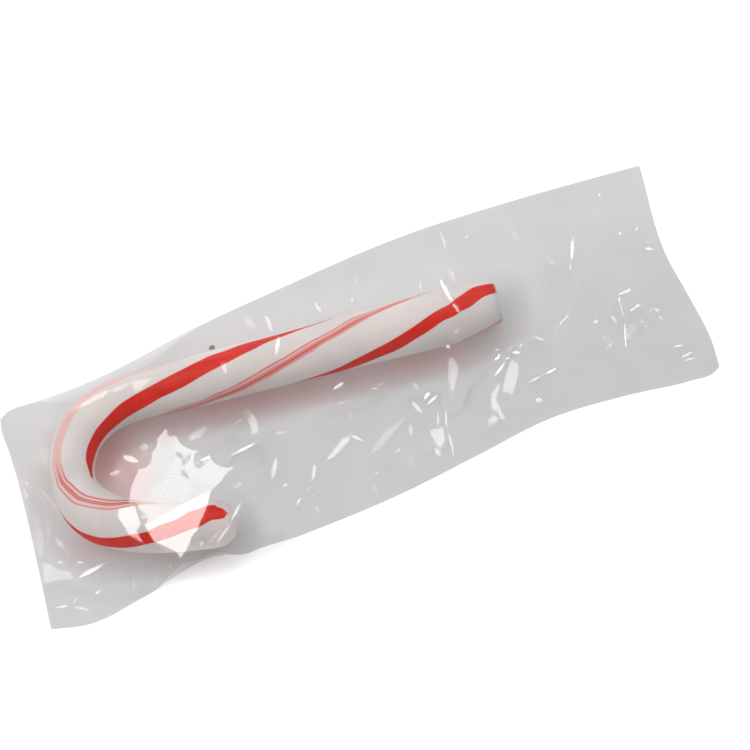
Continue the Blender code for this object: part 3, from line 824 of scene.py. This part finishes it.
def pleat_outline(start, end, width):
    """A long leaf from start to end, and the lamp azimuth that suits a face across it."""
    start, end = np.array(start), np.array(end)
    run = end - start
    aside = np.array((-run[1], run[0])) / np.linalg.norm(run) * width / 2.0
    shape = ((0.0, 0.0), (0.18, 0.62), (0.5, 1.0), (0.82, 0.62), (1.0, 0.0))
    left = [start + run * t + aside * w for t, w in shape]
    right = [start + run * t - aside * w for t, w in shape[-2:0:-1]]
    azimuths = np.arange(20.0, 206.0, 5.0)
    across = [abs(tilt_towards(azimuth) @ aside) / np.linalg.norm(tilt_towards(azimuth)) for azimuth in azimuths]
    return left + right, azimuths[int(np.argmax(across))]


def fold_in(places, height, gleam, outline, azimuth, shine, radius):
    """Folds a flat face into the film. Round it the film bends steeply back to where it lay."""
    outline = [np.array(point, dtype=float) for point in outline]
    corners = np.array(outline)
    low, high = corners.min(axis=0) - 3.0, corners.max(axis=0) + 3.0
    near = ((places > low) & (places < high)).all(axis=-1)
    columns = np.flatnonzero(near.any(axis=1))
    rows = np.flatnonzero(near.any(axis=0))
    part = np.s_[columns[0] : columns[-1] + 1, rows[0] : rows[-1] + 1]
    tilt = tilt_towards(azimuth)
    middle = corners.mean(axis=0)
    beside = np.linalg.norm(places[part] - middle, axis=-1)
    base = height[part].reshape(-1)[beside.argmin()]
    sampled = np.vstack([corners, (corners + middle) / 2.0, [middle]])
    lift = (least_height(sampled, radius) - base - (sampled - middle) @ tilt).max()
    face = base + max(lift, 0.0) + (places[part] - middle) @ tilt
    away = from_outline(places[part], outline)
    fall = FACE_SIDES_FALL * away
    height[part] = np.clip(height[part], face - fall, face + fall)
    gleam[part] = np.where(away < 0.12, shine, gleam[part])


def grown(mask, cells):
    """The mask with its edges moved out by a number of cells."""
    for axis in (0, 1):
        for _ in range(cells):
            shifted = mask.copy()
            first, last = (np.s_[1:], np.s_[:-1]) if axis == 0 else (np.s_[:, 1:], np.s_[:, :-1])
            shifted[first] |= mask[last]
            shifted[last] |= mask[first]
            mask = shifted
    return mask


def points_kept(fields):
    """Marks the grid points that a mesh needs: few where the fields are plain, all where they bend."""
    bends = np.zeros(fields[0].shape)
    for values in fields:
        along = np.abs(values[2:] - 2.0 * values[1:-1] + values[:-2])
        across = np.abs(values[:, 2:] - 2.0 * values[:, 1:-1] + values[:, :-2])
        bends[1:-1] = np.maximum(bends[1:-1], along)
        bends[:, 1:-1] = np.maximum(bends[:, 1:-1], across)
    i, j = np.indices(bends.shape)
    kept = grown(bends > BEND_KEPT, 1)
    for step in (2, 4, 8):
        kept |= (i % step == 0) & (j % step == 0) & grown(bends > BEND_KEPT, 2 * step)
        if step == COARSEST:
            kept |= (i % step == 0) & (j % step == 0)
    on_edge = (i == 0) | (j == 0) | (i == bends.shape[0] - 1) | (j == bends.shape[1] - 1)
    kept |= on_edge & (i % 4 == 0) & (j % 4 == 0)
    return kept


def triangulated(kept):
    """Triangles between the kept points of a grid, by their order among the kept points."""
    spots = np.argwhere(kept)
    found = delaunay_2d_cdt([Vector(spot) for spot in spots.tolist()], [], [], 0, 1e-6)
    order = np.array([origin[0] for origin in found[3]])
    return order[np.array(found[2])]


def dullness_and_painted_shade(places):
    """How much of the dark tint the film takes: its own dullness plus painted shade, lighter near its long upper side
    and the hook, darker at the far corner.
    """
    x, y = places[..., 0], places[..., 1]
    across = smoothstep((11.0 + x * 0.06 - y) / 18.0)
    near_hook = smoothstep((-24.0 - x) / 16.0)
    return 0.171 + 0.119 * across * (1.0 - 0.75 * near_hook) + 0.022 * smoothstep((x - 10.0) / 25.0)


def painted_pink_shade(places, radius):
    """How much painted pink shade the lower sheet takes: the rod's shadow painted pink as if lit through the sugar,
    most in the hook and below the shaft.
    """
    distance, thickness = rod_beside(places, radius)
    below, _ = rod_beside(places + np.array((0.0, 2.8)), radius)
    beside = 1.0 - smoothstep((distance - thickness) / 4.6)
    shaded = smoothstep((distance - below - 0.3) / 2.0)
    x, y = places[..., 0], places[..., 1]
    in_hook = 1.0 - smoothstep((np.hypot(x + 32.5, (y - 0.6) * 0.9) - 2.0) / 4.5)
    kept = (1.0 - 0.9 * smoothstep((-7.0 - y) / 4.0)) * (1.0 - 0.8 * smoothstep((x - 14.0) / 8.0))
    return np.clip(0.45 * beside * shaded * kept + 0.5 * in_hook, 0.0, 1.0)


def faint_pleats(radius):
    """Small random creases away from the rod, listed as the pleats are."""
    random = np.random.default_rng(11)
    made = []
    while len(made) < FAINT_PLEATS:
        place = random.uniform((-44.0, -15.0), (46.0, 14.0))
        turn = random.choice((100.0, 60.0, 20.0)) + random.normal(0.0, 16.0)
        run = direction(turn) * random.uniform(0.25, 0.9)
        width, shine = random.uniform(0.3, 0.6), random.uniform(0.03, 0.11)
        if rod_beside(place[None], radius)[0][0] > FAINT_PLEAT_GAP:
            made.append((*(place - run), *(place + run), width, shine))
    return made


def front_sheet(radius):
    places = footprint(*FRONT_GRID)
    height = taut_film(places, radius)
    gleam = np.full(height.shape, PLAIN_GLEAM)
    for azimuth, shine, *outline in FACES:
        fold_in(places, height, gleam, outline, azimuth, shine, radius)
    for x0, y0, x1, y1, width, shine in (*faint_pleats(radius), *PLEATS):
        outline, azimuth = pleat_outline((x0, y0), (x1, y1), width * PLEAT_WIDTHS)
        fold_in(places, height, gleam, outline, azimuth, shine * PLEAT_SHINE, radius)
    height = np.maximum(height, least_height(places, radius))
    kept = points_kept((height, gleam * 0.1))
    points = np.concatenate([places, height[..., None]], axis=2)[kept]
    values = {"gleam": gleam[kept], "dullness_and_painted_shade": dullness_and_painted_shade(places)[kept]}
    return new_mesh_object("film_front", points, triangulated(kept), values=values)


def back_sheet(radius):
    places = footprint(*BACK_GRID)
    distance, _ = rod_beside(places, radius)
    to_edge = edge_distance(places)
    rise = 1.0 - np.clip(to_edge / BACK_RISE, 0.0, 1.0)
    edge = wrapper_edge_height(distance + to_edge) - EDGE_HEIGHT
    height = BACK_HEIGHT + edge * rise
    points = np.concatenate([places, height[..., None]], axis=2).reshape(-1, 3)
    faces = grid_faces(*BACK_GRID)[:, ::-1]
    # Painted shade on the lower sheet near its held-up edges.
    held = edge / HELD_UP * (1.0 - smoothstep(to_edge / HELD_SHADE_REACH))
    values = {
        "gleam": np.full(len(points), PLAIN_GLEAM),
        "dullness_and_painted_shade": (dullness_and_painted_shade(places) + HELD_PAINTED_SHADE * held).reshape(-1),
        "painted_pink_shade": painted_pink_shade(places, radius).reshape(-1),
    }
    return new_mesh_object("film_back", points, faces, values=values)


def dirt_speck():
    """A crumb of dirt that lies on the lower sheet beside the shaft."""
    rings = []
    for ring in range(7):
        turn = math.pi * (ring + 0.5) / 7.0
        size = math.sin(turn)
        for side in range(12):
            angle = 2.0 * math.pi * side / 12.0
            uneven = 1.0 + 0.16 * math.sin(2.0 * angle + ring) + 0.1 * math.sin(5.0 * angle)
            x, y = SPECK_SIZE[0] * size * uneven * math.cos(angle), SPECK_SIZE[1] * size * uneven * math.sin(angle)
            place = SPECK_AT + x * direction(SPECK_TURN) + y * direction(SPECK_TURN + 90.0)
            rings.append((*place, BACK_HEIGHT + 0.02 + SPECK_SIZE[2] * (1.0 - math.cos(turn))))
    faces = []
    for ring in range(6):
        for side in range(12):
            follow = (side + 1) % 12
            faces.append((ring * 12 + side, ring * 12 + follow, ring * 12 + 12 + follow, ring * 12 + 12 + side))
    faces.append(range(11, -1, -1))
    faces.append(range(72, 84))
    return new_mesh_object("dirt_speck", rings, faces)


# -------------------------------------------------------------------------------------- user's values


class CandyLooks(bpy.types.PropertyGroup):
    radius: bpy.props.FloatProperty(
        name="Rod radius", description="Radius of the sugar rod", default=0.00345, unit="LENGTH", precision=5
    )
    lump_height: bpy.props.FloatProperty(
        name="Lump height", description="How uneven the rod's skin is", default=0.00012, unit="LENGTH", precision=5
    )
    white: bpy.props.FloatVectorProperty(
        name="White", description="Colour of the white sugar", subtype="COLOR", size=4, default=(0.76, 0.71, 0.69, 1.0)
    )
    white_shade: bpy.props.FloatVectorProperty(
        name="White, clouded", description="Colour of the sugar's darker clouds", subtype="COLOR", size=4, default=(0.72, 0.675, 0.655, 1.0)
    )
    red: bpy.props.FloatVectorProperty(
        name="Red", description="Colour of the wide stripes", subtype="COLOR", size=4, default=(0.73, 0.022, 0.006, 1.0)
    )
    red_deep: bpy.props.FloatVectorProperty(
        name="Red, deep", description="Colour of the wide stripes where they are thick", subtype="COLOR", size=4, default=(0.64, 0.014, 0.005, 1.0)
    )
    band: bpy.props.FloatVectorProperty(
        name="Pink", description="Colour between the fine strands", subtype="COLOR", size=4, default=(0.82, 0.42, 0.385, 1.0)
    )
    strand: bpy.props.FloatVectorProperty(
        name="Strand", description="Colour of the fine strands", subtype="COLOR", size=4, default=(0.62, 0.045, 0.04, 1.0)
    )
    band_strength: bpy.props.FloatProperty(
        name="Pink strength", description="How much the pink covers the white", default=0.8, min=0.0, max=1.0
    )
    strand_strength: bpy.props.FloatProperty(
        name="Strand strength", description="How much the strands cover the pink", default=0.85, min=0.0, max=1.0
    )
    roughness: bpy.props.FloatProperty(
        name="Roughness", description="Roughness of the sugar's skin", default=0.38, min=0.0, max=1.0
    )
    specular: bpy.props.FloatProperty(
        name="Specular", description="How much light the sugar's skin mirrors", default=0.3, min=0.0, max=1.0
    )
    glow: bpy.props.FloatProperty(
        name="Glow", description="How much light passes under the sugar's skin", default=0.7, min=0.0, max=1.0
    )
    glow_depth: bpy.props.FloatProperty(
        name="Glow depth", description="How far light travels under the skin", default=0.0025, unit="LENGTH", precision=5
    )


class FilmLooks(bpy.types.PropertyGroup):
    rod_radius: bpy.props.FloatProperty(
        name="Rod radius", description="Radius of the rod that the film lies on", default=0.00345, unit="LENGTH", precision=5
    )
    tint_light: bpy.props.FloatVectorProperty(
        name="Tint, light", description="What one sheet lets through where it is clearest", subtype="COLOR", size=3, default=(0.872, 0.872, 0.872)
    )
    # The dark tint also carries the film's painted shade.
    tint_dark: bpy.props.FloatVectorProperty(
        name="Tint, dark", description="What one sheet lets through where it is dullest", subtype="COLOR", size=3, default=(0.70, 0.70, 0.70)
    )
    # Colour of the painted pink shade on the lower sheet beside the rod.
    painted_pink_shade: bpy.props.FloatVectorProperty(
        name="Blush", description="What the lower sheet lets through beside the sugar", subtype="COLOR", size=3, default=(0.87, 0.62, 0.61)
    )
    milk: bpy.props.FloatVectorProperty(
        name="Milk", description="Colour of the film's haze", subtype="COLOR", size=4, default=(0.8, 0.8, 0.8, 1.0)
    )
    mirror: bpy.props.FloatProperty(
        name="Mirror", description="Share of light that the film mirrors head on", default=0.113, min=0.0, max=1.0
    )
    grazing: bpy.props.FloatProperty(
        name="Grazing mirror", description="Share of light that the film mirrors edge on", default=0.4, min=0.0, max=1.0
    )
    roughness: bpy.props.FloatProperty(
        name="Roughness", description="How blurred the film's reflections are", default=0.12, min=0.0, max=1.0
    )
    haze: bpy.props.FloatProperty(
        name="Haze", description="How milky the film is all over", default=0.006, min=0.0, max=1.0
    )


class StageLooks(bpy.types.PropertyGroup):
    floor: bpy.props.FloatVectorProperty(
        name="Floor", description="Colour of the floor", subtype="COLOR", size=4, default=(0.93, 0.93, 0.93, 1.0)
    )
    glow: bpy.props.FloatProperty(
        name="Floor glow", description="Light that the floor gives off itself", default=0.12, min=0.0
    )
    sky: bpy.props.FloatProperty(
        name="Sky", description="Strength of the light from all round", default=0.82, min=0.0
    )
    sky_overhead: bpy.props.FloatProperty(
        name="Sky overhead", description="Strength of the light from straight above", default=0.11, min=0.0
    )
    lamps: bpy.props.FloatProperty(
        name="Lamps", description="Brightness of the lamps' faces", default=9.4, min=0.0
    )


# ------------------------------------------------------------------------------------------ operators


class CANDYCANE_OT_sugar(bpy.types.Operator):
    """Make the striped sugar rod"""

    bl_idname = "candy_cane.make_sugar"
    bl_label = "Sugar Rod"

    def execute(self, context):
        looks = context.scene.candy_looks
        cane = rod_path(looks)
        values = {
            "Sides": ROD_SIDES,
            "Lump Height": looks.lump_height,
            "Lumps Per Metre": LUMPS_PER_METRE,
            "Finish": candy_material(looks),
        }
        apply_tree(cane, rod_tree(), values)
        finish_piece(cane, "candy", "candy_cane")
        return {"FINISHED"}


class CANDYCANE_OT_film(bpy.types.Operator):
    """Make the two sheets of the film wrapper"""

    bl_idname = "candy_cane.make_film"
    bl_label = "Film Wrapper"

    def execute(self, context):
        looks = context.scene.film_looks
        radius = looks.rod_radius / MM
        for sheet in (front_sheet(radius), back_sheet(radius)):
            sheet.data.materials.append(film_material(sheet.name + "_clear", looks))
            sheet.data.shade_smooth()
            finish_piece(sheet, "film", "wrapper")
        speck = dirt_speck()
        speck.data.shade_smooth()
        speck.data.materials.append(speck_material())
        finish_piece(speck, None, "wrapper")
        return {"FINISHED"}


class CANDYCANE_OT_stage(bpy.types.Operator):
    """Make the floor, the lamps and the camera"""

    bl_idname = "candy_cane.make_stage"
    bl_label = "Stage"

    def execute(self, context):
        looks = context.scene.stage_looks
        make_floor(looks)
        make_lamps(looks)
        make_camera()
        return {"FINISHED"}


ROD_SIDES = 112
LUMPS_PER_METRE = 190.0

LAMP_DISTANCE = 0.6
LAMP_ELEVATION = 56.0
LAMP_THICKNESS = 9.0
LAMPS = (  # azimuth, spread, share of the lamps' brightness
    (20.0, 36.0, 0.95), (58.0, 36.0, 1.1), (96.0, 36.0, 1.25), (134.0, 36.0, 1.2), (172.0, 36.0, 0.85),
    (205.0, 30.0, 0.55),
)

CAMERA_AZIMUTH = -21.2
CAMERA_ELEVATION = 80.0
CAMERA_LENS = 600.0
SENSOR = 36.0
FRAME_WIDTH = 0.1
AIMED_AT = Vector((4.55, 0.66, 0.0)) * MM


def make_floor(looks):
    size = 3.0
    corners = [(-size, -size, 0.0), (size, -size, 0.0), (size, size, 0.0), (-size, size, 0.0)]
    data = bpy.data.meshes.new("floor")
    data.from_pydata(corners, [], [(0, 1, 2, 3)])
    floor = bpy.data.objects.new("floor", data)
    bpy.context.collection.objects.link(floor)
    data.materials.append(floor_material(looks))


def unit_towards(azimuth, elevation):
    flat = math.cos(math.radians(elevation))
    return Vector(
        (
            flat * math.cos(math.radians(azimuth)),
            flat * math.sin(math.radians(azimuth)),
            math.sin(math.radians(elevation)),
        )
    )


def make_lamps(looks):
    """A half ring of soft boxes behind and to the left, and even light from all round."""
    for number, (azimuth, spread, share) in enumerate(LAMPS):
        towards = unit_towards(azimuth, LAMP_ELEVATION)
        ring = LAMP_DISTANCE * math.cos(math.radians(LAMP_ELEVATION))
        light = bpy.data.lights.new(f"softbox_{number}", "AREA")
        light.shape = "RECTANGLE"
        light.size = ring * math.radians(spread)
        light.size_y = LAMP_DISTANCE * math.radians(LAMP_THICKNESS)
        light.energy = looks.lamps * share * light.size * light.size_y * math.pi
        lamp = bpy.data.objects.new(light.name, light)
        lamp.location = towards * LAMP_DISTANCE
        lamp.rotation_mode = "QUATERNION"
        lamp.rotation_quaternion = towards.to_track_quat("Z", "Y")
        lamp.visible_camera = False
        bpy.context.collection.objects.link(lamp)
    world = bpy.data.worlds.new("studio")
    world.use_nodes = True
    world.node_tree.nodes.clear()
    tree = Tree(world.node_tree)
    direction_up = tree.add("ShaderNodeTexCoord").outputs["Generated"]
    height = Number(tree, tree.add("ShaderNodeSeparateXYZ", None, {0: direction_up}).outputs[2])
    strength = height.step(0.95, 0.45) * (looks.sky - looks.sky_overhead) + looks.sky_overhead
    background = tree.add("ShaderNodeBackground", None, {"Color": (1.0, 1.0, 1.0, 1.0), "Strength": strength})
    tree.add("ShaderNodeOutputWorld", None, {"Surface": background.outputs[0]})
    bpy.context.scene.world = world


def camera_side():
    """The direction from the piece to the camera."""
    azimuth = math.radians(CAMERA_AZIMUTH)
    elevation = math.radians(CAMERA_ELEVATION)
    return Vector(
        (
            math.sin(azimuth) * math.cos(elevation),
            -math.cos(azimuth) * math.cos(elevation),
            math.sin(elevation),
        )
    )


def make_camera():
    data = bpy.data.cameras.new("camera")
    data.lens = CAMERA_LENS
    data.sensor_width = SENSOR
    data.clip_start = 0.01
    data.clip_end = 10.0
    camera = bpy.data.objects.new("camera", data)
    back = camera_side()
    camera.location = AIMED_AT + back * (FRAME_WIDTH * CAMERA_LENS / SENSOR)
    camera.rotation_mode = "QUATERNION"
    camera.rotation_quaternion = (-back).to_track_quat("-Z", "Y")
    bpy.context.collection.objects.link(camera)
    scene = bpy.context.scene
    scene.camera = camera
    scene.view_settings.view_transform = "Standard"


class CANDYCANE_PT_panel(bpy.types.Panel):
    """Lists the pieces and their values"""

    bl_label = "Candy Cane"
    bl_idname = "CANDYCANE_PT_panel"
    bl_space_type = "VIEW_3D"
    bl_region_type = "UI"
    bl_category = "Candy Cane"

    def draw(self, context):
        layout = self.layout
        for operator, group in STEPS:
            layout.operator(operator)
            looks = getattr(context.scene, group)
            for key in looks.__annotations__:
                layout.prop(looks, key)


STEPS = (
    ("candy_cane.make_sugar", "candy_looks"),
    ("candy_cane.make_film", "film_looks"),
    ("candy_cane.make_stage", "stage_looks"),
)
GROUPS = {"candy_looks": CandyLooks, "film_looks": FilmLooks, "stage_looks": StageLooks}
CLASSES = (
    *GROUPS.values(),
    CANDYCANE_OT_sugar,
    CANDYCANE_OT_film,
    CANDYCANE_OT_stage,
    CANDYCANE_PT_panel,
)


def register():
    for found in CLASSES:
        bpy.utils.register_class(found)
    for name, group in GROUPS.items():
        setattr(bpy.types.Scene, name, bpy.props.PointerProperty(type=group))


def unregister():
    for name in GROUPS:
        delattr(bpy.types.Scene, name)
    for found in reversed(CLASSES):
        bpy.utils.unregister_class(found)


def main():
    register()
    bpy.ops.candy_cane.make_sugar()
    bpy.ops.candy_cane.make_film()
    bpy.ops.candy_cane.make_stage()


if __name__ == "__main__":
    main()
